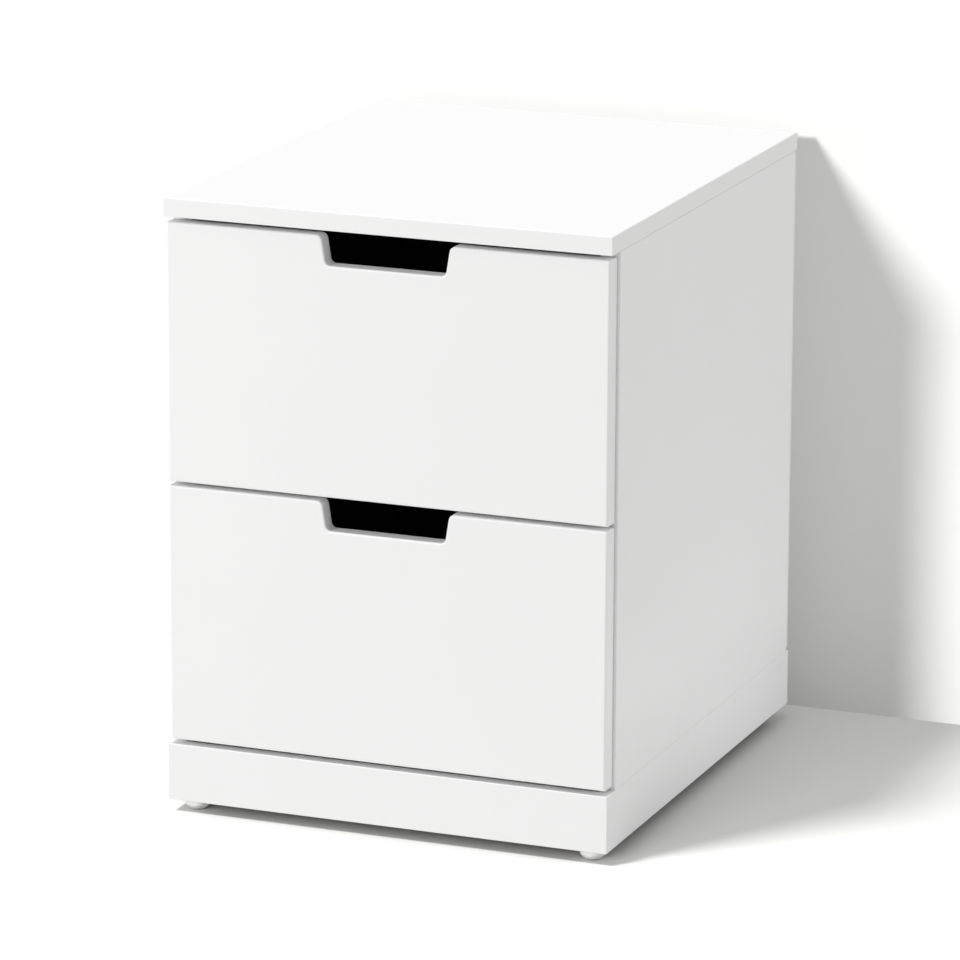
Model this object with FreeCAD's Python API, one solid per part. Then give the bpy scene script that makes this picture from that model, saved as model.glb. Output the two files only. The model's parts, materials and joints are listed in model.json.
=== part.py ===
import FreeCAD, Part
import math
import os

# A low chest with two drawers. It stands on a plinth with four levelling feet.
# Millimetres. +Z is up, the drawers open towards -Y, X runs along the width.
# The origin is on the floor, under the middle of the chest.

# Overall size
CHEST_WIDTH = 400.0
CHEST_DEPTH = 470.0
SIDE_HEIGHT = 460.0
PLINTH_HEIGHT = 50.0
FOOT_HEIGHT = 11.0

# Board thicknesses
TOP_THICKNESS = 16.0
SIDE_THICKNESS = 18.0
BACK_PANEL_THICKNESS = 4.0
PLINTH_THICKNESS = 12.0
RAIL_THICKNESS = 16.0
BOARD_EDGE_RADIUS = 0.8

# Set-backs and gaps of the carcass
SIDE_STANDOFF = 1.3
REAR_SETBACK = 2.0
BACK_PANEL_SIDE_INSET = 0.5
BACK_PANEL_TOP_GAP = 1.0
BACK_PANEL_BOTTOM_GAP = 3.5

# Cross rails
BOTTOM_RAIL_WIDTH = 60.0
TOP_RAIL_HEIGHT = 80.0
FRONT_RAIL_SETBACK = 2.0

# Drawer fronts
FRONT_THICKNESS = 18.0
FRONT_SETBACK = 0.8
FRONT_SIDE_INSET = 2.6
GAP_BELOW_FRONTS = 4.2
GAP_BETWEEN_FRONTS = 3.5
GAP_ABOVE_FRONTS = 4.3
FRONT_EDGE_RADIUS = 1.8
FRONT_REAR_EDGE_RADIUS = 0.8
FRONT_GRIP_EDGE_RADIUS = 4.5

# Finger notch in the upper edge of each front
NOTCH_TOP_WIDTH = 115.0
NOTCH_BOTTOM_WIDTH = 107.0
NOTCH_DEPTH = 25.5
NOTCH_CROWN_RADIUS = 5.5
NOTCH_CORNER_RADIUS = 5.0

# Drawer boxes
BOX_LIFT = 20.0
BOX_TOP_DROP = 40.0
BOX_REAR_GAP = 9.2
BOX_SIDE_THICKNESS = 12.0
BOX_BACK_THICKNESS = 12.0
BOX_EDGE_RADIUS = 1.0
BOTTOM_THICKNESS = 4.0
BOTTOM_RISE = 10.0
GROOVE_DEPTH = 5.0
GROOVE_CLEARANCE = 0.1
GROOVE_END_CLEARANCE = 0.3

# Runners: a channel on the side panel and a flanged strip on the drawer side
RUNNER_SPACE = 12.5
RUNNER_SETBACK = 2.0
SHEET_THICKNESS = 1.2
CHANNEL_HEIGHT = 28.0
CHANNEL_FLANGE_WIDTH = 7.9
STRIP_FLANGE_WIDTH = 8.3
STRIP_FLANGE_HEIGHT = 24.0
STRIP_FRONT_GAP = 0.5
STRIP_REAR_INSET = 19.5
CHANNEL_REAR_OVERHANG = 3.2
STRIP_LENGTH_KEPT_IN = 100.0

# Rollers and the axles that carry them
ROLLER_RADIUS = 11.0
ROLLER_WIDTH = 6.0
ROLLER_GROOVE_DEPTH = 0.6
ROLLER_GROOVE_WIDTH = 2.0
ROLLER_EDGE_RADIUS = 0.6
ROLLER_RUNNING_GAP = 0.3
ROLLER_SIDE_GAP = 1.2
ROLLER_END_INSET = 12.5
AXLE_RADIUS = 2.0
AXLE_CLEARANCE = 0.05
AXLE_HEAD_RADIUS = 3.0
AXLE_HEAD_THICKNESS = 1.0
AXLE_HEAD_GAP = 0.2

# Stops at both ends of the travel, which stand up from the floor of the channel
STOP_HEIGHT = 3.0
STOP_LENGTH = 3.0
STOP_WIDTH = 5.0
STOP_GAP = 0.5

# Small screws: runners to boards, bracket to top panel
SMALL_SCREW_RADIUS = 1.75
SMALL_SCREW_LENGTH = 10.0
SMALL_HEAD_RADIUS = 3.25
SMALL_HEAD_HEIGHT = 1.6
SMALL_SCREW_HEIGHT_IN_CHANNEL = 19.5
RUNNER_SCREW_FRONT_INSET = 50.0
RUNNER_SCREW_REAR_INSET = 60.0
SCREW_CLEARANCE = 0.05
RECESS_DEPTH = 0.8
RECESS_WIDTH = 0.9

# Long countersunk screws: drawer back to drawer sides, rails to plinth blocks
LONG_SCREW_RADIUS = 2.0
LONG_SCREW_LENGTH = 35.0
LONG_HEAD_RADIUS = 4.0
LONG_HEAD_HEIGHT = 2.4
BACK_SCREW_RISE = 50.0
BACK_SCREW_DROP = 45.0
PLINTH_SCREW_EDGE_INSET = 15.5
PLINTH_SCREW_SIDE_INSET = 17.0

# Cam fittings of the carcass
CAM_RADIUS = 7.5
CAM_DEPTH = 13.0
CAM_DISTANCE = 34.0
CAM_CLEARANCE = 0.05
CAM_BORE_RADIUS = 3.3
CAM_SLOT_LENGTH = 9.0
CAM_SLOT_WIDTH = 2.0
CAM_SLOT_DEPTH = 2.5
BOLT_THREAD_RADIUS = 2.5
BOLT_THREAD_LENGTH = 11.0
BOLT_STEM_RADIUS = 2.2
BOLT_HEAD_RADIUS = 2.8
BOLT_HEAD_LENGTH = 3.0
BOLT_HOLE_RADIUS = 4.0

# Smaller cam fittings of the drawer fronts
DRAWER_CAM_RADIUS = 6.0
DRAWER_CAM_DEPTH = 10.0
DRAWER_CAM_DISTANCE = 24.0
DRAWER_BOLT_HOLE_RADIUS = 3.5
DRAWER_CAM_RISE = 40.0
DRAWER_CAM_DROP = 40.0

# Places of the carcass fittings, from the edges of the boards
CAM_INSET = 45.0
DOWEL_INSET = 77.0
PLINTH_DOWEL_INSET = 60.0
RAIL_CAM_INSET = 34.5
RAIL_DOWEL_INSET = 50.0
TOP_RAIL_CAM_DROP = 25.0
TOP_RAIL_DOWEL_DROP = 60.0

# Wooden dowels
DOWEL_RADIUS = 3.0
DOWEL_LENGTH = 30.0
DOWEL_SHORT_END = 11.0
DOWEL_CLEARANCE = 0.05
DOWEL_END_CLEARANCE = 1.0
DOWEL_CHAMFER = 0.8

# Nails of the back panel
NAIL_RADIUS = 0.8
NAIL_LENGTH = 20.0
NAIL_HEAD_RADIUS = 2.2
NAIL_HEAD_THICKNESS = 0.6
NAIL_EDGE_INSET = 35.0
NAILS_PER_SIDE = 5
NAIL_RAIL_OFFSET = 70.0

# Plinth corner blocks and levelling feet
BLOCK_SIZE = 40.0
BLOCK_CHAMFER = 18.0
BLOCK_TOP_DROP = 4.0
BATTEN_SIZE = 20.0
FOOT_INSET = 19.0
FOOT_SOLE_RADIUS = 5.0
FOOT_RIM_RADIUS = 11.4
FOOT_SIDES = 6
FOOT_ACROSS_FLATS = 21.6
FOOT_BEVEL_HEIGHT = 5.6
FOOT_BEVEL_BULGE = 0.9
FOOT_TOP_GAP = 0.3
FOOT_STEM_RADIUS = 3.0
FOOT_STEM_LENGTH = 24.0
FOOT_STEM_CLEARANCE = 0.05
SOCKET_RADIUS = 5.0
SOCKET_LENGTH = 28.0
SOCKET_CLEARANCE = 0.05

# Wall anchor bracket under the rear of the top panel
BRACKET_WIDTH = 30.0
BRACKET_THICKNESS = 2.0
BRACKET_LEG = 30.0
BRACKET_DROP = 42.0
BRACKET_SCREW_SPACING = 16.0
BRACKET_SCREW_INSET = 12.0
ANCHOR_HOLE_RADIUS = 3.25
ANCHOR_HOLE_DROP = 24.0
ANCHOR_CLEARANCE = 0.75

# Planes that the sizes above lead to
half_width = CHEST_WIDTH / 2
half_depth = CHEST_DEPTH / 2
plinth_top = FOOT_HEIGHT + PLINTH_HEIGHT
top_underside = plinth_top + SIDE_HEIGHT
chest_height = top_underside + TOP_THICKNESS
front_face = -half_depth + FRONT_SETBACK
front_rear = front_face + FRONT_THICKNESS
side_front = front_rear + SIDE_STANDOFF
back_panel_rear = half_depth - REAR_SETBACK
side_rear = back_panel_rear - BACK_PANEL_THICKNESS
inner_half_width = half_width - SIDE_THICKNESS
side_middle = half_width - SIDE_THICKNESS / 2
front_half_width = half_width - FRONT_SIDE_INSET
front_height = (SIDE_HEIGHT - GAP_BELOW_FRONTS - GAP_BETWEEN_FRONTS - GAP_ABOVE_FRONTS) / 2
box_half_width = inner_half_width - RUNNER_SPACE
box_inner_half_width = box_half_width - BOX_SIDE_THICKNESS
box_height = front_height - BOX_LIFT - BOX_TOP_DROP
box_rear = side_rear - RAIL_THICKNESS - BOX_REAR_GAP
strip_web = box_half_width + SHEET_THICKNESS
strip_front = front_rear + STRIP_FRONT_GAP
strip_rear = box_rear - STRIP_REAR_INSET
strip_roller_y = strip_rear - ROLLER_END_INSET
drawer_travel = strip_rear - strip_front - STRIP_LENGTH_KEPT_IN
channel_web = inner_half_width - SHEET_THICKNESS
channel_front = side_front + RUNNER_SETBACK
channel_rear = strip_rear + CHANNEL_REAR_OVERHANG
channel_roller_y = channel_front + ROLLER_END_INSET
foot_x = half_width - FOOT_INSET
foot_y = half_depth - FOOT_INSET

LEFT = -1
RIGHT = 1
FRONT = -1
REAR = 1
FULL_TURN = 360.0
SAME_PLACE = 0.01
UP = FreeCAD.Vector(0, 0, 1)
ALONG_X = FreeCAD.Vector(1, 0, 0)
ALONG_Y = FreeCAD.Vector(0, 1, 0)

# Each drawer's name and the height of its front's lower edge
DRAWERS = {
    "lower": plinth_top + GAP_BELOW_FRONTS,
    "upper": plinth_top + GAP_BELOW_FRONTS + front_height + GAP_BETWEEN_FRONTS,
}


def point(x, y, z):
    return FreeCAD.Vector(x, y, z)


def block(x_range, y_range, z_range):
    """A box between two ends along each axis, given in either order."""
    low = [min(pair) for pair in (x_range, y_range, z_range)]
    high = [max(pair) for pair in (x_range, y_range, z_range)]
    lengths = [b - a for a, b in zip(low, high)]
    return Part.makeBox(*lengths, point(*low))


def centred_block(middle, lengths):
    """A box of the given lengths around its middle."""
    corner = middle - FreeCAD.Vector(*lengths) / 2
    return Part.makeBox(*lengths, corner)


def rod(start, direction, radius, length):
    return Part.makeCylinder(radius, length, start, direction)


def board(x_range, y_range, z_range, radius=BOARD_EDGE_RADIUS):
    """A box with all its edges slightly rounded."""
    solid = block(x_range, y_range, z_range)
    return solid.makeFillet(radius, solid.Edges)


def drill(solid, holes):
    """The solid without the holes that reach it."""
    near = [hole for hole in holes if hole.BoundBox.intersect(solid.BoundBox)]
    return solid.cut(near) if near else solid


def edges_in_plane(solid, axis, value):
    """The edges whose ends all have this coordinate; axis is 0, 1 or 2 for X, Y or Z."""
    return [
        edge for edge in solid.Edges
        if all(abs(vertex.Point[axis] - value) < SAME_PLACE for vertex in edge.Vertexes)]


def round_long_top_edges(solid, top, thickness):
    """The solid with the two long edges of its upper face rounded."""
    edges = [edge for edge in edges_in_plane(solid, 2, top) if edge.Length > thickness]
    return solid.makeFillet(BOX_EDGE_RADIUS, edges)


def group(solids):
    return Part.makeCompound(solids)


def save(node, shape):
    shape.exportStep(os.path.join("parts", node + ".step"))


def side_name(side):
    return "left" if side == LEFT else "right"


# Fasteners. Each function returns the solid and the hole that it needs.

def cross_recess(head_centre, outward, size):
    """Two crossed slots that are sunk into a screw head."""
    first = ALONG_Y if abs(outward.x) == 1 else ALONG_X
    second = outward.cross(first)
    middle = head_centre - outward * (RECESS_DEPTH / 2)
    slots = []
    for along, across in ((first, second), (second, first)):
        lengths = [
            abs(along[i]) * size + abs(across[i]) * RECESS_WIDTH + abs(outward[i]) * RECESS_DEPTH
            for i in range(3)]
        slots.append(centred_block(middle, lengths))
    return slots


def small_screw(seat, outward):
    """A pan head screw whose head rests on seat; outward points out of the board."""
    shank = rod(seat, outward * -1, SMALL_SCREW_RADIUS, SMALL_SCREW_LENGTH)
    head = rod(seat, outward, SMALL_HEAD_RADIUS, SMALL_HEAD_HEIGHT)
    solid = shank.fuse(head).removeSplitter()
    top = seat + outward * SMALL_HEAD_HEIGHT
    solid = solid.cut(cross_recess(top, outward, SMALL_HEAD_RADIUS))
    length = SMALL_SCREW_LENGTH + SCREW_CLEARANCE
    hole = rod(seat, outward * -1, SMALL_SCREW_RADIUS + SCREW_CLEARANCE, length)
    return solid, hole


def long_screw(seat, outward):
    """A countersunk screw whose head is level with seat."""
    inward = outward * -1
    shank = rod(seat, inward, LONG_SCREW_RADIUS, LONG_SCREW_LENGTH)
    head = Part.makeCone(LONG_HEAD_RADIUS, LONG_SCREW_RADIUS, LONG_HEAD_HEIGHT, seat, inward)
    solid = shank.fuse(head).removeSplitter()
    solid = solid.cut(cross_recess(seat, outward, LONG_HEAD_RADIUS))
    radius = LONG_SCREW_RADIUS + SCREW_CLEARANCE
    sink = Part.makeCone(
        LONG_HEAD_RADIUS + SCREW_CLEARANCE, radius, LONG_HEAD_HEIGHT, seat, inward)
    hole = rod(seat, inward, radius, LONG_SCREW_LENGTH + SCREW_CLEARANCE).fuse(sink)
    return solid, hole


def dowel(seam, direction):
    """A chamfered dowel that crosses a seam, its long end along direction."""
    start = seam - direction * DOWEL_SHORT_END
    solid = rod(start, direction, DOWEL_RADIUS, DOWEL_LENGTH)
    rims = [edge for edge in solid.Edges if edge.Closed]
    solid = solid.makeChamfer(DOWEL_CHAMFER, rims)
    hole = rod(
        start - direction * DOWEL_END_CLEARANCE, direction,
        DOWEL_RADIUS + DOWEL_CLEARANCE, DOWEL_LENGTH + 2 * DOWEL_END_CLEARANCE)
    return solid, hole


def cam_bolt(seam, towards_cam, distance, hole_radius):
    """A bolt that is screwed in on one side of a seam, with its head in a cam beyond it."""
    thread = rod(seam, towards_cam * -1, BOLT_THREAD_RADIUS, BOLT_THREAD_LENGTH)
    stem_length = distance - BOLT_HEAD_LENGTH / 2
    stem = rod(seam, towards_cam, BOLT_STEM_RADIUS, stem_length)
    head = rod(seam + towards_cam * stem_length, towards_cam, BOLT_HEAD_RADIUS, BOLT_HEAD_LENGTH)
    solid = thread.fuse([stem, head]).removeSplitter()
    pilot = rod(
        seam, towards_cam * -1,
        BOLT_THREAD_RADIUS + SCREW_CLEARANCE, BOLT_THREAD_LENGTH + SCREW_CLEARANCE)
    clear = rod(seam, towards_cam, hole_radius, distance)
    return solid, pilot.fuse(clear)


def cam_lock(centre, opening, towards_bolt, radius, depth, bolt_depth):
    """A round cam whose slotted face is at centre and looks along opening.

    The bolt's axis crosses it at bolt_depth under that face.
    """
    inward = opening * -1
    solid = rod(centre, inward, radius, depth)
    axis = centre + inward * bolt_depth
    reach = radius + CAM_BORE_RADIUS
    bore = rod(axis - towards_bolt * CAM_BORE_RADIUS, towards_bolt, CAM_BORE_RADIUS, reach)
    across = towards_bolt.cross(opening)
    lengths = [
        abs(across[i]) * CAM_SLOT_LENGTH + abs(towards_bolt[i]) * CAM_SLOT_WIDTH
        + abs(opening[i]) * CAM_SLOT_DEPTH for i in range(3)]
    slot = centred_block(centre + inward * (CAM_SLOT_DEPTH / 2), lengths)
    solid = solid.cut([bore, slot])
    pocket = rod(centre, inward, radius + CAM_CLEARANCE, depth + CAM_CLEARANCE)
    return solid, pocket


def runner_screw_places(front, rear):
    """Three places along a runner that reaches from front to rear."""
    return (front + RUNNER_SCREW_FRONT_INSET, (front + rear) / 2, rear - RUNNER_SCREW_REAR_INSET)


def nail(head_seat):
    """A nail driven along -Y, its head on the rear face of the back panel."""
    shank = rod(head_seat, ALONG_Y * -1, NAIL_RADIUS, NAIL_LENGTH)
    head = rod(head_seat, ALONG_Y, NAIL_HEAD_RADIUS, NAIL_HEAD_THICKNESS)
    hole = rod(head_seat, ALONG_Y * -1, NAIL_RADIUS + SCREW_CLEARANCE, NAIL_LENGTH + SCREW_CLEARANCE)
    return shank.fuse(head).removeSplitter(), hole


# Carcass

def carcass_fittings():
    """The cams, bolts, dowels, plinth screws and nails, and every hole for them."""
    cams, bolts, dowels, screws, nails, holes = [], [], [], [], [], []

    def add(kept, made):
        kept.append(made[0])
        holes.append(made[1])

    for side in (LEFT, RIGHT):
        outward = ALONG_X * side
        inner = inner_half_width * side

        # Top panel to side panel
        for y in (side_front + CAM_INSET, side_rear - CAM_INSET):
            seam = point(side_middle * side, y, top_underside)
            add(bolts, cam_bolt(seam, UP * -1, CAM_DISTANCE, BOLT_HOLE_RADIUS))
            face = point(inner, y, top_underside - CAM_DISTANCE)
            add(cams, cam_lock(
                face, outward * -1, UP, CAM_RADIUS, CAM_DEPTH, SIDE_THICKNESS / 2))
        for y in (side_front + DOWEL_INSET, side_rear - DOWEL_INSET):
            add(dowels, dowel(point(side_middle * side, y, top_underside), UP * -1))

        # Side panel to plinth
        plinth_middle = (half_width - PLINTH_THICKNESS / 2) * side
        for y in (side_front + PLINTH_DOWEL_INSET, side_rear - PLINTH_DOWEL_INSET):
            add(dowels, dowel(point(plinth_middle, y, plinth_top), UP * -1))

        # Bottom rails to side panel and to the plinth blocks
        rail_middle = plinth_top + RAIL_THICKNESS / 2
        for edge, step in ((side_front + FRONT_RAIL_SETBACK, 1), (side_rear, -1)):
            y = edge + step * RAIL_CAM_INSET
            seam = point(inner, y, rail_middle)
            add(bolts, cam_bolt(seam, outward * -1, CAM_DISTANCE, BOLT_HOLE_RADIUS))
            face = point(inner - CAM_DISTANCE * side, y, plinth_top + RAIL_THICKNESS)
            add(cams, cam_lock(face, UP, outward, CAM_RADIUS, CAM_DEPTH, RAIL_THICKNESS / 2))
            seam = point(inner, edge + step * RAIL_DOWEL_INSET, rail_middle)
            add(dowels, dowel(seam, outward * -1))
            x = inner - PLINTH_SCREW_SIDE_INSET * side
            y = edge + step * PLINTH_SCREW_EDGE_INSET
            add(screws, long_screw(point(x, y, plinth_top + RAIL_THICKNESS), UP))

        # Rear top rail to side panel
        y = side_rear - RAIL_THICKNESS / 2
        seam = point(inner, y, top_underside - TOP_RAIL_CAM_DROP)
        add(bolts, cam_bolt(seam, outward * -1, CAM_DISTANCE, BOLT_HOLE_RADIUS))
        face = point(
            inner - CAM_DISTANCE * side, side_rear - RAIL_THICKNESS,
            top_underside - TOP_RAIL_CAM_DROP)
        add(cams, cam_lock(
            face, ALONG_Y * -1, outward, CAM_RADIUS, CAM_DEPTH, RAIL_THICKNESS / 2))
        seam = point(inner, y, top_underside - TOP_RAIL_DOWEL_DROP)
        add(dowels, dowel(seam, outward * -1))

        # Back panel to the side panel and to the rails
        low = plinth_top + NAIL_EDGE_INSET
        high = top_underside - NAIL_EDGE_INSET
        for count in range(NAILS_PER_SIDE):
            z = low + (high - low) * count / (NAILS_PER_SIDE - 1)
            add(nails, nail(point(side_middle * side, back_panel_rear, z)))
        for z in (plinth_top + RAIL_THICKNESS / 2, top_underside - TOP_RAIL_HEIGHT / 2):
            add(nails, nail(point(NAIL_RAIL_OFFSET * side, back_panel_rear, z)))

    return cams, bolts, dowels, screws, nails, holes


def top_panel(holes):
    solid = board(
        (-half_width, half_width), (-half_depth, half_depth), (top_underside, chest_height))
    return drill(solid, holes)


def side_panel(side, holes):
    solid = board(
        (inner_half_width * side, half_width * side),
        (side_front, side_rear), (plinth_top, top_underside))
    return drill(solid, holes)


def back_panel(holes):
    half = half_width - BACK_PANEL_SIDE_INSET
    solid = block(
        (-half, half), (side_rear, back_panel_rear),
        (plinth_top + BACK_PANEL_BOTTOM_GAP, top_underside - BACK_PANEL_TOP_GAP))
    return drill(solid, holes)


def bottom_rail(edge, step, holes):
    """A flat rail between the side panels, from one edge towards the middle of the chest."""
    solid = block(
        (-inner_half_width, inner_half_width),
        (edge, edge + step * BOTTOM_RAIL_WIDTH), (plinth_top, plinth_top + RAIL_THICKNESS))
    return drill(solid, holes)


def rear_top_rail(holes):
    solid = block(
        (-inner_half_width, inner_half_width), (side_rear - RAIL_THICKNESS, side_rear),
        (top_underside - TOP_RAIL_HEIGHT, top_underside))
    return drill(solid, holes)


# Plinth

def plinth_frame():
    outer = board(
        (-half_width, half_width), (-half_depth, half_depth), (FOOT_HEIGHT, plinth_top))
    inner_x = half_width - PLINTH_THICKNESS
    inner_y = half_depth - PLINTH_THICKNESS
    inner = block((-inner_x, inner_x), (-inner_y, inner_y), (FOOT_HEIGHT, plinth_top))
    return outer.cut(inner)


def plinth_board(frame, corner_a, corner_b, holes):
    """The part of the frame between two mitred corners, each given by its signs of x and y."""
    outline = []
    for sign_x, sign_y in (corner_a, corner_b):
        outline.append(point(half_width * sign_x, half_depth * sign_y, FOOT_HEIGHT))
    for sign_x, sign_y in (corner_b, corner_a):
        x = (half_width - PLINTH_THICKNESS) * sign_x
        y = (half_depth - PLINTH_THICKNESS) * sign_y
        outline.append(point(x, y, FOOT_HEIGHT))
    wedge = Part.Face(Part.makePolygon(outline + outline[:1])).extrude(UP * PLINTH_HEIGHT)
    return drill(frame.common(wedge), holes)


def corner_block(side, end, holes):
    """A glue block in one corner of the plinth, with its free corner cut off."""
    x = (half_width - PLINTH_THICKNESS) * side
    y = (half_depth - PLINTH_THICKNESS) * end
    short = BLOCK_SIZE - BLOCK_CHAMFER
    steps = [(0, 0), (BLOCK_SIZE, 0), (BLOCK_SIZE, short), (short, BLOCK_SIZE), (0, BLOCK_SIZE)]
    outline = [point(x - side * a, y - end * b, FOOT_HEIGHT) for a, b in steps]
    rise = PLINTH_HEIGHT - BLOCK_TOP_DROP
    solid = Part.Face(Part.makePolygon(outline + outline[:1])).extrude(UP * rise)
    socket_hole = rod(
        point(foot_x * side, foot_y * end, FOOT_HEIGHT), UP,
        SOCKET_RADIUS + SOCKET_CLEARANCE, SOCKET_LENGTH + SOCKET_CLEARANCE)
    return drill(solid, holes + [socket_hole])


def front_batten():
    """A glue batten behind the front plinth board, from one corner block to the other."""
    reach = half_width - PLINTH_THICKNESS - BLOCK_SIZE
    front = PLINTH_THICKNESS - half_depth
    top = plinth_top - BLOCK_TOP_DROP
    return block((-reach, reach), (front, front + BATTEN_SIZE), (top - BATTEN_SIZE, top))


def foot_socket(side, end):
    """The threaded sleeve in a corner block that the foot's stem turns in."""
    base = point(foot_x * side, foot_y * end, FOOT_HEIGHT)
    bore = rod(base, UP, FOOT_STEM_RADIUS + FOOT_STEM_CLEARANCE, SOCKET_LENGTH)
    return rod(base, UP, SOCKET_RADIUS, SOCKET_LENGTH).cut(bore)


def levelling_foot(side, end):
    """A six-sided foot with a bevelled, slightly bulging underside and a round stem."""
    rim_top = FOOT_HEIGHT - FOOT_TOP_GAP
    stem_top = FOOT_HEIGHT + FOOT_STEM_LENGTH
    sole = point(FOOT_SOLE_RADIUS, 0, 0)
    bevel_top = point(FOOT_RIM_RADIUS, 0, FOOT_BEVEL_HEIGHT)
    outward = point(FOOT_BEVEL_HEIGHT, 0, FOOT_SOLE_RADIUS - FOOT_RIM_RADIUS).normalize()
    bulge = (sole + bevel_top) / 2 + outward * FOOT_BEVEL_BULGE
    edges = [
        Part.LineSegment(point(0, 0, 0), sole).toShape(),
        Part.Arc(sole, bulge, bevel_top).toShape(),
    ]
    rest = [
        bevel_top, point(FOOT_RIM_RADIUS, 0, rim_top), point(FOOT_STEM_RADIUS, 0, rim_top),
        point(FOOT_STEM_RADIUS, 0, stem_top), point(0, 0, stem_top), point(0, 0, 0)]
    edges += [Part.LineSegment(a, b).toShape() for a, b in zip(rest, rest[1:])]
    solid = Part.Face(Part.Wire(edges)).revolve(point(0, 0, 0), UP, FULL_TURN)
    corner_radius = FOOT_ACROSS_FLATS / 2 / math.cos(math.pi / FOOT_SIDES)
    angles = [2 * math.pi * count / FOOT_SIDES for count in range(FOOT_SIDES)]
    corners = [
        point(corner_radius * math.cos(angle), corner_radius * math.sin(angle), 0)
        for angle in angles]
    prism = Part.Face(Part.makePolygon(corners + corners[:1])).extrude(UP * stem_top)
    solid = solid.common(prism)
    solid.translate(point(foot_x * side, foot_y * end, 0))
    return solid


# Drawer fronts

def rounded_outline(corners, y):
    """A closed wire in a plane of constant y. Each corner is (x, z, radius)."""
    edges = []
    ends = []
    count = len(corners)
    for index, (x, z, radius) in enumerate(corners):
        corner = point(x, y, z)
        before = point(corners[index - 1][0], y, corners[index - 1][1])
        after_x, after_z, _ = corners[(index + 1) % count]
        after = point(after_x, y, after_z)
        to_before = (before - corner).normalize()
        to_after = (after - corner).normalize()
        if radius == 0:
            ends.append((corner, corner))
            continue
        half_angle = to_before.getAngle(to_after) / 2
        reach = radius / math.tan(half_angle)
        bisector = (to_before + to_after).normalize()
        middle = corner + bisector * (radius / math.sin(half_angle) - radius)
        start = corner + to_before * reach
        stop = corner + to_after * reach
        edges.append(Part.Arc(start, middle, stop).toShape())
        ends.append((start, stop))
    for index in range(count):
        start = ends[index][1]
        stop = ends[(index + 1) % count][0]
        edges.append(Part.LineSegment(start, stop).toShape())
    return Part.Wire(Part.__sortEdges__(edges))


def front_blank(bottom):
    """A drawer front with its notch, before it is drilled.

    Its rear edges are rounded more along the top and the notch, where fingers grip it.
    """
    top = bottom + front_height
    notch_top = NOTCH_TOP_WIDTH / 2
    notch_bottom = NOTCH_BOTTOM_WIDTH / 2
    corners = [
        (-front_half_width, bottom, 0),
        (front_half_width, bottom, 0),
        (front_half_width, top, 0),
        (notch_top, top, NOTCH_CROWN_RADIUS),
        (notch_bottom, top - NOTCH_DEPTH, NOTCH_CORNER_RADIUS),
        (-notch_bottom, top - NOTCH_DEPTH, NOTCH_CORNER_RADIUS),
        (-notch_top, top, NOTCH_CROWN_RADIUS),
        (-front_half_width, top, 0),
    ]
    face = Part.Face(rounded_outline(corners, front_face))
    solid = face.extrude(ALONG_Y * FRONT_THICKNESS)
    solid = solid.makeFillet(FRONT_EDGE_RADIUS, edges_in_plane(solid, 1, front_face))
    grip_edges = []
    for edge in edges_in_plane(solid, 1, front_rear):
        if edge.BoundBox.ZMin > bottom + FRONT_THICKNESS:
            grip_edges.append(edge)
    solid = solid.makeFillet(FRONT_GRIP_EDGE_RADIUS, grip_edges)
    other_edges = []
    for edge in edges_in_plane(solid, 1, front_rear):
        if edge.BoundBox.ZMin < bottom + FRONT_THICKNESS:
            other_edges.append(edge)
    return solid.makeFillet(FRONT_REAR_EDGE_RADIUS, other_edges)


# Drawer boxes

def bottom_hollow(box_bottom, clearance, end_clearance):
    """The space of the drawer's bottom panel; with clearance, the grooves that hold it."""
    half = box_inner_half_width + GROOVE_DEPTH - end_clearance
    return block(
        (-half, half),
        (front_rear - GROOVE_DEPTH + end_clearance,
         box_rear - BOX_BACK_THICKNESS + GROOVE_DEPTH - end_clearance),
        (box_bottom + BOTTOM_RISE - clearance,
         box_bottom + BOTTOM_RISE + BOTTOM_THICKNESS + clearance))


def drawer_fittings(box_bottom):
    """The cams, bolts and screws of one drawer, and every hole for them."""
    cams, bolts, back_screws, runner_screws, holes = [], [], [], [], []

    def add(kept, made):
        kept.append(made[0])
        holes.append(made[1])

    for side in (LEFT, RIGHT):
        outward = ALONG_X * side
        middle = (box_half_width - BOX_SIDE_THICKNESS / 2) * side
        for rise in (DRAWER_CAM_RISE, box_height - DRAWER_CAM_DROP):
            seam = point(middle, front_rear, box_bottom + rise)
            add(bolts, cam_bolt(seam, ALONG_Y, DRAWER_CAM_DISTANCE, DRAWER_BOLT_HOLE_RADIUS))
            face = point(
                box_inner_half_width * side, front_rear + DRAWER_CAM_DISTANCE, box_bottom + rise)
            add(cams, cam_lock(
                face, outward * -1, ALONG_Y * -1, DRAWER_CAM_RADIUS, DRAWER_CAM_DEPTH,
                BOX_SIDE_THICKNESS / 2))
        for rise in (BACK_SCREW_RISE, box_height - BACK_SCREW_DROP):
            seat = point(
                box_half_width * side, box_rear - BOX_BACK_THICKNESS / 2, box_bottom + rise)
            add(back_screws, long_screw(seat, outward))
        height = box_bottom - SHEET_THICKNESS + SMALL_SCREW_HEIGHT_IN_CHANNEL
        for y in runner_screw_places(strip_front, strip_rear):
            seat = point(strip_web * side, y, height)
            add(runner_screws, small_screw(seat, outward))
    return cams, bolts, back_screws, runner_screws, holes


def drawer_side(side, box_bottom, holes):
    outer = box_half_width * side
    inner = box_inner_half_width * side
    solid = block((inner, outer), (front_rear, box_rear), (box_bottom, box_bottom + box_height))
    solid = round_long_top_edges(solid, box_bottom + box_height, BOX_SIDE_THICKNESS)
    return drill(solid, holes + [bottom_hollow(box_bottom, GROOVE_CLEARANCE, 0)])


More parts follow.
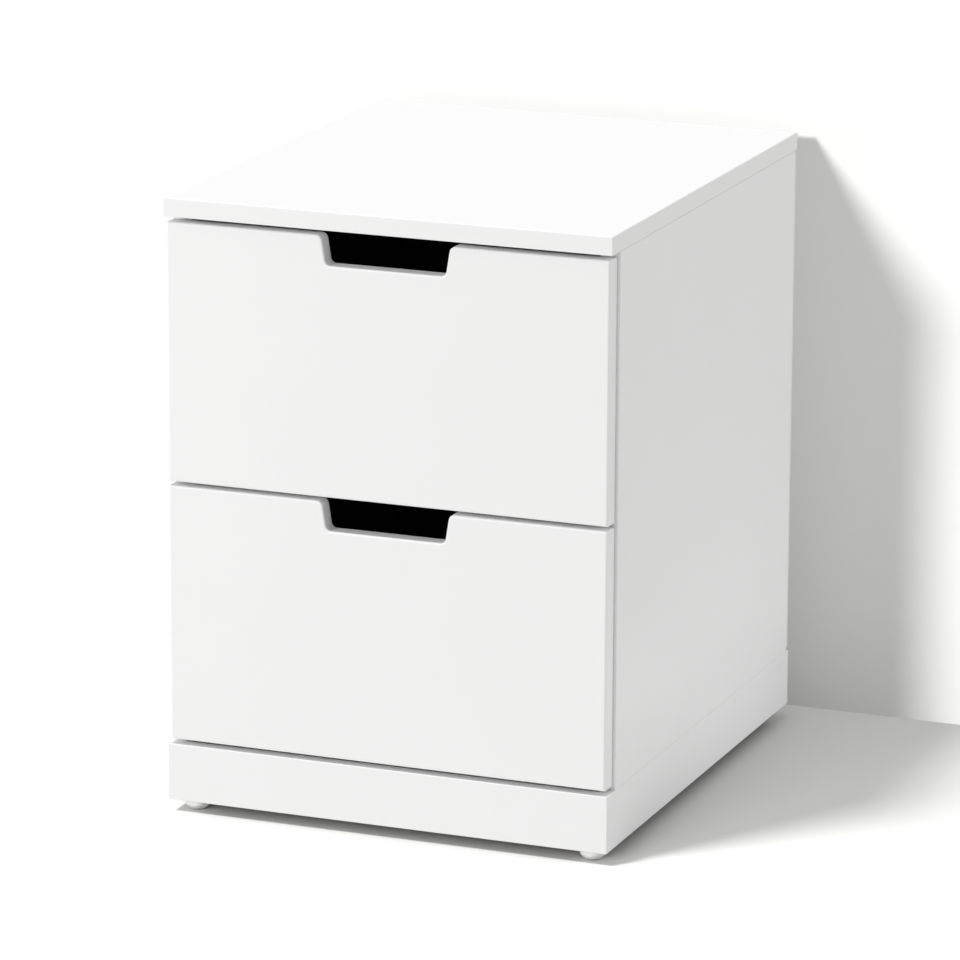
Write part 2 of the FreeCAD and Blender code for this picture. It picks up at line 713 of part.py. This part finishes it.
def drawer_back(box_bottom, holes):
    solid = block(
        (-box_inner_half_width, box_inner_half_width), (box_rear - BOX_BACK_THICKNESS, box_rear),
        (box_bottom, box_bottom + box_height))
    solid = round_long_top_edges(solid, box_bottom + box_height, BOX_BACK_THICKNESS)
    return drill(solid, holes + [bottom_hollow(box_bottom, GROOVE_CLEARANCE, 0)])


# Runners and rollers

def axle(web_rear, side, inward, y, z):
    """A stub axle that starts at the rear of a web and ends in a flat head past the roller."""
    direction = ALONG_X * (side * inward)
    length = SHEET_THICKNESS + ROLLER_SIDE_GAP + ROLLER_WIDTH + AXLE_HEAD_GAP
    start = point(web_rear * side, y, z)
    shaft = rod(start, direction, AXLE_RADIUS, length)
    head = rod(start + direction * length, direction, AXLE_HEAD_RADIUS, AXLE_HEAD_THICKNESS)
    return shaft.fuse(head)


def channel_roller_height(box_bottom):
    """The roller at the front of the channel carries the flange of the drawer's strip."""
    return box_bottom - SHEET_THICKNESS + STRIP_FLANGE_HEIGHT - ROLLER_RUNNING_GAP - ROLLER_RADIUS


def strip_roller_height(box_bottom):
    """The roller at the rear of the strip runs on the floor of the channel."""
    return box_bottom - SHEET_THICKNESS + ROLLER_RUNNING_GAP + ROLLER_RADIUS


def channel_stops(side, floor):
    """The tabs that the drawer's roller meets when the drawer is closed and when it is open."""
    touch = math.sqrt(ROLLER_RADIUS ** 2 - (ROLLER_RADIUS - STOP_HEIGHT) ** 2) + STOP_GAP
    open_stop = strip_roller_y - drawer_travel - touch
    closed_stop = strip_roller_y + touch
    x_range = ((channel_web - STOP_WIDTH) * side, channel_web * side)
    return [
        block(x_range, (y, y + step * STOP_LENGTH), (floor, floor + STOP_HEIGHT))
        for y, step in ((open_stop, -1), (closed_stop, 1))]


def cabinet_runner(side, box_bottom, holes):
    """The channel on the side panel, with its travel stops and its roller axle."""
    floor = box_bottom - SHEET_THICKNESS
    y_range = (channel_front, channel_rear)
    flange_x = ((channel_web - CHANNEL_FLANGE_WIDTH) * side, channel_web * side)
    web = block(
        (channel_web * side, inner_half_width * side), y_range,
        (floor - SHEET_THICKNESS, floor + CHANNEL_HEIGHT + SHEET_THICKNESS))
    lower = block(flange_x, y_range, (floor - SHEET_THICKNESS, floor))
    upper_z = (floor + CHANNEL_HEIGHT, floor + CHANNEL_HEIGHT + SHEET_THICKNESS)
    upper = block(flange_x, y_range, upper_z)
    stub = axle(inner_half_width, side, -1, channel_roller_y, channel_roller_height(box_bottom))
    solid = web.fuse([lower, upper, stub] + channel_stops(side, floor)).removeSplitter()
    return drill(solid, holes)


def drawer_runner(side, box_bottom, holes):
    """The strip under and beside the drawer side, with its roller axle."""
    floor = box_bottom - SHEET_THICKNESS
    y_range = (strip_front, strip_rear)
    flange_z = (floor + STRIP_FLANGE_HEIGHT, floor + STRIP_FLANGE_HEIGHT + SHEET_THICKNESS)
    web = block((box_half_width * side, strip_web * side), y_range, (floor, flange_z[1]))
    shelf = block((box_inner_half_width * side, box_half_width * side), y_range, (floor, box_bottom))
    flange = block((strip_web * side, (strip_web + STRIP_FLANGE_WIDTH) * side), y_range, flange_z)
    stub = axle(box_half_width, side, 1, strip_roller_y, strip_roller_height(box_bottom))
    solid = web.fuse([shelf, flange, stub]).removeSplitter()
    return drill(solid, holes)


def roller(inner_x, outer_x, y, z):
    """A plastic roller with a shallow tread groove, bored for its axle."""
    low = min(inner_x, outer_x)
    solid = rod(point(low, y, z), ALONG_X, ROLLER_RADIUS, ROLLER_WIDTH)
    rims = [edge for edge in solid.Edges if edge.Closed]
    solid = solid.makeFillet(ROLLER_EDGE_RADIUS, rims)
    groove_start = point(low + (ROLLER_WIDTH - ROLLER_GROOVE_WIDTH) / 2, y, z)
    ring = rod(groove_start, ALONG_X, ROLLER_RADIUS + ROLLER_GROOVE_DEPTH, ROLLER_GROOVE_WIDTH)
    core = rod(groove_start, ALONG_X, ROLLER_RADIUS - ROLLER_GROOVE_DEPTH, ROLLER_GROOVE_WIDTH)
    bore = rod(point(low, y, z), ALONG_X, AXLE_RADIUS + AXLE_CLEARANCE, ROLLER_WIDTH)
    return solid.cut([ring.cut(core), bore])


def cabinet_roller(side, box_bottom):
    outer = channel_web - ROLLER_SIDE_GAP
    inner = outer - ROLLER_WIDTH
    return roller(inner * side, outer * side, channel_roller_y, channel_roller_height(box_bottom))


def drawer_roller(side, box_bottom):
    inner = strip_web + ROLLER_SIDE_GAP
    outer = inner + ROLLER_WIDTH
    return roller(inner * side, outer * side, strip_roller_y, strip_roller_height(box_bottom))


def channel_screws():
    """The screws that hold the four channels to the side panels, and their holes."""
    screws, holes = [], []
    for bottom in DRAWERS.values():
        height = bottom + BOX_LIFT - SHEET_THICKNESS + SMALL_SCREW_HEIGHT_IN_CHANNEL
        for side in (LEFT, RIGHT):
            for y in runner_screw_places(channel_front, channel_rear):
                seat = point(channel_web * side, y, height)
                solid, hole = small_screw(seat, ALONG_X * -side)
                screws.append(solid)
                holes.append(hole)
    return screws, holes


# Wall anchor

def wall_anchor():
    """The angle bracket, its two screws, the screw holes and the hole for the wall screw."""
    half = BRACKET_WIDTH / 2
    rail_face = side_rear - RAIL_THICKNESS
    leg = block(
        (-half, half), (rail_face - BRACKET_LEG, rail_face),
        (top_underside - BRACKET_THICKNESS, top_underside))
    plate = block(
        (-half, half), (rail_face - BRACKET_THICKNESS, rail_face),
        (top_underside - BRACKET_DROP, top_underside))
    screws, holes = [], []
    for side in (LEFT, RIGHT):
        seat = point(
            BRACKET_SCREW_SPACING / 2 * side, rail_face - BRACKET_LEG + BRACKET_SCREW_INSET,
            top_underside - BRACKET_THICKNESS)
        solid, hole = small_screw(seat, UP * -1)
        screws.append(solid)
        holes.append(hole)
    anchor_start = point(0, rail_face - BRACKET_THICKNESS, top_underside - ANCHOR_HOLE_DROP)
    anchor_hole = rod(anchor_start, ALONG_Y, ANCHOR_HOLE_RADIUS, BRACKET_THICKNESS)
    bracket = drill(leg.fuse(plate).removeSplitter(), holes + [anchor_hole])
    passage = rod(
        anchor_start, ALONG_Y, ANCHOR_HOLE_RADIUS + ANCHOR_CLEARANCE,
        back_panel_rear - anchor_start.y)
    return bracket, screws, holes, passage


# The whole chest

def save_carcass():
    cams, bolts, dowels, screws, nails, holes = carcass_fittings()
    runner_screws, runner_holes = channel_screws()
    bracket, bracket_screws, bracket_holes, anchor_passage = wall_anchor()

    save("top_panel", top_panel(holes + bracket_holes))
    for side in (LEFT, RIGHT):
        save("side_panel_" + side_name(side), side_panel(side, holes + runner_holes))
    save("back_panel", back_panel(holes + [anchor_passage]))
    front_edge = side_front + FRONT_RAIL_SETBACK
    save("front_bottom_rail", bottom_rail(front_edge, 1, holes))
    save("rear_bottom_rail", bottom_rail(side_rear, -1, holes))
    save("rear_top_rail", rear_top_rail(holes + [anchor_passage]))
    save("wall_anchor_bracket", bracket)

    save("carcass_cam_locks", group(cams))
    save("carcass_cam_bolts", group(bolts))
    save("wooden_dowels", group(dowels))
    save("plinth_screws", group(screws))
    save("back_panel_nails", group(nails))
    save("cabinet_runner_screws", group(runner_screws + bracket_screws))

    for name, bottom in DRAWERS.items():
        box_bottom = bottom + BOX_LIFT
        for side in (LEFT, RIGHT):
            suffix = name + "_" + side_name(side)
            save("cabinet_runner_" + suffix, cabinet_runner(side, box_bottom, runner_holes))
            save("cabinet_roller_" + suffix, cabinet_roller(side, box_bottom))
    return holes


def save_plinth(holes):
    frame = plinth_frame()
    save("plinth_front", plinth_board(frame, (-1, -1), (1, -1), holes))
    save("plinth_right", plinth_board(frame, (1, -1), (1, 1), holes))
    save("plinth_back", plinth_board(frame, (1, 1), (-1, 1), holes))
    save("plinth_left", plinth_board(frame, (-1, 1), (-1, -1), holes))
    corners = [(side, end) for end in (FRONT, REAR) for side in (LEFT, RIGHT)]
    save("plinth_corner_blocks", group([corner_block(*corner, holes) for corner in corners]))
    save("plinth_front_batten", front_batten())
    save("foot_sockets", group([foot_socket(*corner) for corner in corners]))
    for side, end in corners:
        end_name = "front" if end == FRONT else "rear"
        save("foot_" + end_name + "_" + side_name(side), levelling_foot(side, end))


def save_drawer(name, bottom):
    prefix = name + "_drawer_"
    box_bottom = bottom + BOX_LIFT
    cams, bolts, back_screws, runner_screws, holes = drawer_fittings(box_bottom)
    groove = bottom_hollow(box_bottom, GROOVE_CLEARANCE, 0)
    save(prefix + "front", drill(front_blank(bottom), holes + [groove]))
    save(prefix + "back", drawer_back(box_bottom, holes))
    save(prefix + "bottom", bottom_hollow(box_bottom, 0, GROOVE_END_CLEARANCE))
    for side in (LEFT, RIGHT):
        suffix = "_" + side_name(side)
        save(prefix + "side" + suffix, drawer_side(side, box_bottom, holes))
        save(prefix + "runner" + suffix, drawer_runner(side, box_bottom, holes))
        save(prefix + "roller" + suffix, drawer_roller(side, box_bottom))
    save(prefix + "cam_locks", group(cams))
    save(prefix + "cam_bolts", group(bolts))
    save(prefix + "back_screws", group(back_screws))
    save(prefix + "runner_screws", group(runner_screws))


os.makedirs("parts", exist_ok=True)
save_plinth(save_carcass())
for drawer_name, front_bottom in DRAWERS.items():
    save_drawer(drawer_name, front_bottom)
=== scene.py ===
import json
import math

import bpy
from mathutils import Matrix, Vector

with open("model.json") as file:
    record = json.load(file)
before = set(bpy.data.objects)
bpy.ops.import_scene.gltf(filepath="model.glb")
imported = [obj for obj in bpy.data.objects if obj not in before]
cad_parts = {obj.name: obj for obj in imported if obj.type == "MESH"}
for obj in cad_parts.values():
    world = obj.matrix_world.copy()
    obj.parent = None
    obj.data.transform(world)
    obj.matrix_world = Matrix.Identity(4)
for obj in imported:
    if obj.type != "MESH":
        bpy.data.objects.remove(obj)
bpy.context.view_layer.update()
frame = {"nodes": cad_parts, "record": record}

# Camera at the photo's viewpoint: metres and degrees, millimetres for lens and sensor
CAMERA_POSITION = (1.80717, -4.60829, 1.55569)
CAMERA_AZIMUTH = 21.490
CAMERA_ELEVATION = 14.706
CAMERA_ROLL = 0.254
CAMERA_LENS = 220.555
CAMERA_SENSOR = 36.0
CAMERA_REACH = 100.0

# Stage, of floor and wall: sizes in metres, shades as linear greys
FLOOR_DROP = 0.00005
FLOOR_SIZE = 60.0
WALL_DISTANCE = 0.265
WALL_HEIGHT = 30.0
FLOOR_SHADE = 0.56
FLOOR_SHADE_SEEN = 0.72
WALL_SHADE = 0.80
STAGE_TINT = (1.0, 1.003, 0.988)
STAGE_ROUGHNESS = 0.9
PAPER_SCALE = 40.0
PAPER_DETAIL = 3.0
PAPER_VARIATION = 0.01

# Light: the levels of the world and the powers of the lamps
WORLD_LEVEL = 0.585
WORLD_SHOWN = 1.0
FRONT_LAMP_POWER = 0.93
OVERHEAD_LAMP_POWER = 1.34
FLOOR_LAMP_POWER = 2.62
LOW_FLOOR_LAMP_POWER = 1.20
WALL_LAMP_POWER = 2.13
LEFT_FILL_POWER = 0.60
RIGHT_FILL_POWER = 0.16

# Lamps: angles in degrees for the far ones, places and sizes in metres for the near ones
LAMP_SOFTNESS = 7.0
FLOOR_LAMP_SOFTNESS = 10.0
LOW_FLOOR_LAMP_SOFTNESS = 22.0
FRONT_LAMP_ANGLES = (-34.5, 18.0)
OVERHEAD_LAMP_ANGLES = (-34.5, 87.0)
FLOOR_LAMP_ANGLES = (-38.0, 60.0)
LOW_FLOOR_LAMP_ANGLES = (-13.5, 18.0)
WALL_LAMP_ANGLES = (-14.0, 18.0)
LEFT_FILL_PLACE = (-0.75, -0.75, 0.45)
LEFT_FILL_SIZE = (0.4, 0.4)
RIGHT_FILL_PLACE = (0.42, 0.08, 0.02)
RIGHT_FILL_SIZE = (0.36, 0.06)

# Patterns: the span that a noise mostly stays in, and how far clouds dim a colour
NOISE_LOW = 0.3
NOISE_HIGH = 0.7
METAL_CLOUD_DIM = 0.9
PLASTIC_CLOUD_DIM = 0.97


# Shader helpers

class Shader:
    """A node material that is built up call by call."""

    def __init__(self, name):
        self.material = bpy.data.materials.new(name)
        self.material.use_nodes = True
        self.tree = self.material.node_tree
        self.principled = self.tree.nodes["Principled BSDF"]
        self.output = self.tree.nodes["Material Output"]
        self.coordinates = self.add("ShaderNodeTexCoord").outputs["Object"]

    def add(self, kind, values=None, **settings):
        """A new node with these inputs and settings."""
        node = self.tree.nodes.new(kind)
        for name, value in settings.items():
            setattr(node, name, value)
        for name, value in (values or {}).items():
            self.set(node.inputs[name], value)
        return node

    def set(self, socket, value):
        """Links an output to the socket, or gives it a constant value."""
        if isinstance(value, bpy.types.NodeSocket):
            self.tree.links.new(value, socket)
        else:
            socket.default_value = value

    def base(self, **values):
        """Sets inputs of the principled shader, with _ for a space in their names."""
        for name, value in values.items():
            self.set(self.principled.inputs[name.replace("_", " ")], value)

    def scaled_coordinates(self, scale):
        """The object's coordinates, times one factor along each axis."""
        mapping = self.add("ShaderNodeMapping", {"Vector": self.coordinates, "Scale": scale})
        return mapping.outputs["Vector"]

    def noise(self, scale, detail=2.0, roughness=0.5, vector=None):
        values = {
            "Vector": vector or self.coordinates, "Scale": scale,
            "Detail": detail, "Roughness": roughness}
        return self.add("ShaderNodeTexNoise", values).outputs["Fac"]

    def spread(self, noise, low=0.0, high=1.0):
        """The noise, with the span that it mostly stays in mapped to low and high."""
        values = {
            "Value": noise, "From Min": NOISE_LOW, "From Max": NOISE_HIGH,
            "To Min": low, "To Max": high}
        return self.add("ShaderNodeMapRange", values).outputs["Result"]

    def blend(self, factor, low, high):
        """A colour that goes from low to high with the factor."""
        node = self.add("ShaderNodeMix", data_type="RGBA")
        self.set(node.inputs["Factor"], factor)
        self.set(node.inputs["A"], low)
        self.set(node.inputs["B"], high)
        return node.outputs["Result"]

    def bump(self, height, distance, strength=1.0, normal=None):
        values = {"Height": height, "Distance": distance, "Strength": strength}
        if normal is not None:
            values["Normal"] = normal
        return self.add("ShaderNodeBump", values).outputs["Normal"]


def shade(value):
    """A linear grey or colour as an opaque colour."""
    if isinstance(value, float):
        value = (value, value, value)
    return (*value, 1.0)


def scaled(colour, factor):
    """A colour times one factor."""
    return [factor * value for value in colour]


# Materials of the part. The pine is coloured dark as painted shade, which darkens the gap lines
# it shows through

def white_foil():
    """A satin foil with a faint orange peel and a fine grain."""
    shader = Shader("white_foil")
    cloud = shader.noise(scale=9.0, detail=3.0)
    tint = shader.blend(shader.spread(cloud), low=shade(0.872), high=shade(0.879))
    peel = shader.noise(scale=700.0)
    grain = shader.noise(scale=2600.0, detail=1.0)
    normal = shader.bump(peel, distance=0.00003, strength=0.35)
    normal = shader.bump(grain, distance=0.00001, strength=0.25, normal=normal)
    shader.base(Base_Color=tint, Normal=normal)
    shader.base(Roughness=shader.spread(grain, low=0.42, high=0.52))
    return shader.material


def white_hardboard():
    """A painted board with fine fibres."""
    shader = Shader("white_hardboard")
    cloud = shader.noise(scale=14.0, detail=3.0)
    tint = shader.blend(shader.spread(cloud), low=shade(0.80), high=shade(0.83))
    fibres = shader.noise(scale=900.0, detail=4.0, roughness=0.7)
    shader.base(Base_Color=tint, Normal=shader.bump(fibres, distance=0.00006, strength=0.5))
    shader.base(Roughness=0.62)
    return shader.material


def grey_foil():
    """A foil with a grain from front to back, made near black so that the drawer insides seen
    through the notches and gaps look black: painted shade.
    """
    shader = Shader("grey_foil")
    lengthwise = shader.scaled_coordinates((18.0, 1.0, 18.0))
    grain = shader.noise(scale=60.0, detail=5.0, roughness=0.6, vector=lengthwise)
    # Painted shade: the near-black tint stands in for the shade inside the closed drawers
    tint = shader.blend(shader.spread(grain), low=shade(0.070), high=shade(0.085))
    shader.base(Base_Color=tint, Normal=shader.bump(grain, distance=0.00005, strength=0.4))
    shader.base(Roughness=0.55)
    return shader.material


def grey_hardboard():
    """A board with fine fibres, made near black so that the drawer insides seen through the
    notches look black: painted shade.
    """
    shader = Shader("grey_hardboard")
    fibres = shader.noise(scale=700.0, detail=4.0, roughness=0.7)
    # Painted shade: the near-black tint stands in for the shade inside the closed drawers
    tint = shader.blend(shader.spread(fibres), low=shade(0.066), high=shade(0.082))
    shader.base(Base_Color=tint, Normal=shader.bump(fibres, distance=0.00006, strength=0.5))
    shader.base(Roughness=0.7)
    return shader.material


def wood(name, dark, light, across):
    """A wood with an upright grain, finer across it than along it by one factor."""
    shader = Shader(name)
    upright = shader.scaled_coordinates((across, across, 1.0))
    grain = shader.noise(scale=90.0, detail=6.0, roughness=0.65, vector=upright)
    tint = shader.blend(shader.spread(grain), low=shade(dark), high=shade(light))
    shader.base(Base_Color=tint, Normal=shader.bump(grain, distance=0.0001, strength=0.5))
    shader.base(Roughness=0.65)
    return shader.material


def metal(name, colour, smooth, rough):
    """A cloudy metal whose roughness lies between smooth and rough."""
    shader = Shader(name)
    cloud = shader.noise(scale=260.0, detail=4.0, roughness=0.6)
    cloudy = shade(scaled(colour, METAL_CLOUD_DIM))
    tint = shader.blend(shader.spread(cloud), low=shade(colour), high=cloudy)
    shader.base(Base_Color=tint, Metallic=1.0)
    shader.base(Roughness=shader.spread(cloud, low=smooth, high=rough))
    shader.base(Normal=shader.bump(cloud, distance=0.00002, strength=0.4))
    return shader.material


def coated_steel():
    """A white coating with a fine orange peel."""
    shader = Shader("coated_steel")
    peel = shader.noise(scale=1500.0)
    cloud = shader.noise(scale=30.0)
    tint = shader.blend(cloud, low=shade(0.80), high=shade(0.83))
    shader.base(Base_Color=tint, Normal=shader.bump(peel, distance=0.00004, strength=0.5))
    shader.base(Roughness=0.38)
    return shader.material


def moulded_plastic(name, colour, roughness):
    """A pale plastic with fine pits."""
    shader = Shader(name)
    pits = shader.noise(scale=1800.0, detail=3.0)
    cloud = shader.noise(scale=60.0)
    cloudy = shade(scaled(colour, PLASTIC_CLOUD_DIM))
    tint = shader.blend(cloud, low=shade(colour), high=cloudy)
    shader.base(Base_Color=tint, Normal=shader.bump(pits, distance=0.00003, strength=0.4))
    shader.base(Roughness=roughness)
    return shader.material


MATERIALS = {
    "white_foil": white_foil(),
    "white_hardboard": white_hardboard(),
    "grey_foil": grey_foil(),
    "grey_hardboard": grey_hardboard(),
    "beech": wood("beech", dark=(0.55, 0.36, 0.20), light=(0.68, 0.48, 0.29), across=8.0),
    # The pine keeps its grain, but its dark colour is painted shade that makes the gaps under
    # the fronts look black
    "pine": wood("pine", dark=(0.22, 0.19, 0.16), light=(0.32, 0.28, 0.24), across=5.0),
    "zinc_alloy": metal("zinc_alloy", (0.60, 0.60, 0.61), smooth=0.40, rough=0.55),
    "zinc_plated_steel": metal("zinc_plated_steel", (0.74, 0.75, 0.78), smooth=0.22, rough=0.38),
    "coated_steel": coated_steel(),
    "roller_plastic": moulded_plastic("roller_plastic", (0.80, 0.80, 0.78), roughness=0.42),
    "foot_plastic": moulded_plastic("foot_plastic", (0.89, 0.89, 0.88), roughness=0.40),
}


def dress_nodes():
    """Gives every CAD node the material of its slot in the record."""
    for part in frame["record"]["subparts"]:
        mesh = frame["nodes"][part["node"]].data
        mesh.materials.clear()
        mesh.materials.append(MATERIALS[part["material_slot"]])


# Stage, light and camera

def seen_rays(tree):
    """One for the rays that show a surface, also in gloss or through glass, and else zero."""
    path = tree.nodes.new("ShaderNodeLightPath")
    seen = path.outputs["Is Camera Ray"]
    for name in ("Is Glossy Ray", "Is Transmission Ray"):
        either = tree.nodes.new("ShaderNodeMath")
        either.operation = "MAXIMUM"
        tree.links.new(seen, either.inputs[0])
        tree.links.new(path.outputs[name], either.inputs[1])
        seen = either.outputs[0]
    return seen


def paper_tint(shader, paper, level):
    """A slightly mottled, faintly warm grey around one level."""
    darker = shade(scaled(STAGE_TINT, (1.0 - PAPER_VARIATION) * level))
    lighter = shade(scaled(STAGE_TINT, (1.0 + PAPER_VARIATION) * level))
    return shader.blend(paper, low=darker, high=lighter)


def stage_shader(name, level, level_seen):
    """Paper that shows one level and sends back the light of another."""
    shader = Shader(name)
    paper = shader.noise(scale=PAPER_SCALE, detail=PAPER_DETAIL)
    bounced = paper_tint(shader, paper, level)
    shown = paper_tint(shader, paper, level_seen)
    tint = shader.blend(seen_rays(shader.tree), low=bounced, high=shown)
    shader.base(Base_Color=tint, Roughness=STAGE_ROUGHNESS, Specular_IOR_Level=0.0)
    return shader


def make_one_sided(shader):
    """Lets what lies behind the wall be seen from the wall's rear."""
    facing = shader.add("ShaderNodeNewGeometry")
    clear = shader.add("ShaderNodeBsdfTransparent")
    mix = shader.add("ShaderNodeMixShader")
    front, rear = mix.inputs[1:]
    shader.set(mix.inputs["Fac"], facing.outputs["Backfacing"])
    shader.set(front, shader.principled.outputs["BSDF"])
    shader.set(rear, clear.outputs["BSDF"])
    shader.set(shader.output.inputs["Surface"], mix.outputs["Shader"])


def plane(name, corners, material):
    """A piece of the stage with four corners."""
    mesh = bpy.data.meshes.new(name)
    mesh.from_pydata(corners, [], [(0, 1, 2, 3)])
    mesh.materials.append(material)
    thing = bpy.data.objects.new(name, mesh)
    bpy.context.scene.collection.objects.link(thing)
    return thing


def build_stage():
    """The floor, and a wall behind the chest that only the camera sees."""
    half = FLOOR_SIZE / 2
    floor_corners = [
        (-half, -half, -FLOOR_DROP), (half, -half, -FLOOR_DROP),
        (half, half, -FLOOR_DROP), (-half, half, -FLOOR_DROP)]
    floor_shader = stage_shader("floor_white", FLOOR_SHADE, FLOOR_SHADE_SEEN)
    floor = plane("floor", floor_corners, floor_shader.material)
    wall_corners = [
        (-half, WALL_DISTANCE, -FLOOR_DROP), (half, WALL_DISTANCE, -FLOOR_DROP),
        (half, WALL_DISTANCE, WALL_HEIGHT), (-half, WALL_DISTANCE, WALL_HEIGHT)]
    wall_shader = stage_shader("wall_white", WALL_SHADE, WALL_SHADE)
    make_one_sided(wall_shader)
    wall = plane("wall", wall_corners, wall_shader.material)
    wall.visible_shadow = False
    wall.visible_diffuse = False
    wall.visible_glossy = False
    wall.visible_transmission = False
    return floor, wall


def build_world():
    """A world that lights at one level and shows at another."""
    world = bpy.data.worlds.new("studio")
    bpy.context.scene.world = world
    world.use_nodes = True
    tree = world.node_tree
    background = tree.nodes["Background"]
    background.inputs["Color"].default_value = shade(1.0)
    level = tree.nodes.new("ShaderNodeMapRange")
    level.inputs["To Min"].default_value = WORLD_LEVEL
    level.inputs["To Max"].default_value = WORLD_SHOWN
    tree.links.new(seen_rays(tree), level.inputs["Value"])
    tree.links.new(level.outputs["Result"], background.inputs["Strength"])


def from_angles(azimuth, elevation):
    """The direction towards a place seen at these angles from the front of the chest."""
    turn, rise = math.radians(azimuth), math.radians(elevation)
    return Vector((
        math.sin(turn) * math.cos(rise), -math.cos(turn) * math.cos(rise), math.sin(rise)))


def lamp(name, kind, power, source, place=(0.0, 0.0, 0.0)):
    """A lamp that shines from the direction of its source."""
    data = bpy.data.lights.new(name, kind)
    data.energy = power
    thing = bpy.data.objects.new(name, data)
    bpy.context.scene.collection.objects.link(thing)
    thing.location = place
    thing.rotation_euler = source.to_track_quat("Z", "Y").to_euler()
    return thing


def sun(name, power, angles, softness=LAMP_SOFTNESS):
    """A far lamp at these angles. Its softness is its apparent width in degrees."""
    thing = lamp(name, "SUN", power, from_angles(*angles))
    thing.data.angle = math.radians(softness)
    return thing


def fill(name, power, place, size):
    """A near lamp that shines level, towards the upright axis of the chest."""
    thing = lamp(name, "AREA", power, Vector((place[0], place[1], 0.0)), place)
    thing.data.shape = "RECTANGLE"
    thing.data.size, thing.data.size_y = size
    thing.visible_camera = False
    return thing


def shine_on(lamp_object, receivers):
    """Keeps a lamp's light to the receivers."""
    collection = bpy.data.collections.new(lamp_object.name + "_receivers")
    for thing in receivers:
        collection.objects.link(thing)
    lamp_object.light_linking.receiver_collection = collection


def build_lights(floor, wall):
    """Far lamps for the chest, the floor and the wall, and two near fills for the chest."""
    chest = list(frame["nodes"].values())
    shine_on(sun("front_lamp", FRONT_LAMP_POWER, FRONT_LAMP_ANGLES), chest)
    shine_on(sun("overhead_lamp", OVERHEAD_LAMP_POWER, OVERHEAD_LAMP_ANGLES), chest)
    floor_lamp = sun("floor_lamp", FLOOR_LAMP_POWER, FLOOR_LAMP_ANGLES, FLOOR_LAMP_SOFTNESS)
    shine_on(floor_lamp, [floor])
    low_floor_lamp = sun(
        "low_floor_lamp", LOW_FLOOR_LAMP_POWER, LOW_FLOOR_LAMP_ANGLES, LOW_FLOOR_LAMP_SOFTNESS)
    shine_on(low_floor_lamp, [floor])
    shine_on(sun("wall_lamp", WALL_LAMP_POWER, WALL_LAMP_ANGLES), [wall])
    shine_on(fill("left_fill", LEFT_FILL_POWER, LEFT_FILL_PLACE, LEFT_FILL_SIZE), chest)
    shine_on(fill("right_fill", RIGHT_FILL_POWER, RIGHT_FILL_PLACE, RIGHT_FILL_SIZE), chest)


def build_camera():
    """A camera without shift, turned a little about its line of sight."""
    data = bpy.data.cameras.new("camera")
    data.lens = CAMERA_LENS
    data.sensor_width = CAMERA_SENSOR
    data.clip_end = CAMERA_REACH
    camera = bpy.data.objects.new("camera", data)
    bpy.context.scene.collection.objects.link(camera)
    back = from_angles(CAMERA_AZIMUTH, CAMERA_ELEVATION)
    level = back.to_track_quat("Z", "Y").to_matrix().to_4x4()
    roll = Matrix.Rotation(math.radians(CAMERA_ROLL), 4, "Z")
    camera.matrix_world = Matrix.Translation(CAMERA_POSITION) @ level @ roll
    bpy.context.scene.camera = camera


dress_nodes()
build_world()
build_lights(*build_stage())
build_camera()
bpy.context.scene.view_settings.view_transform = "Standard"
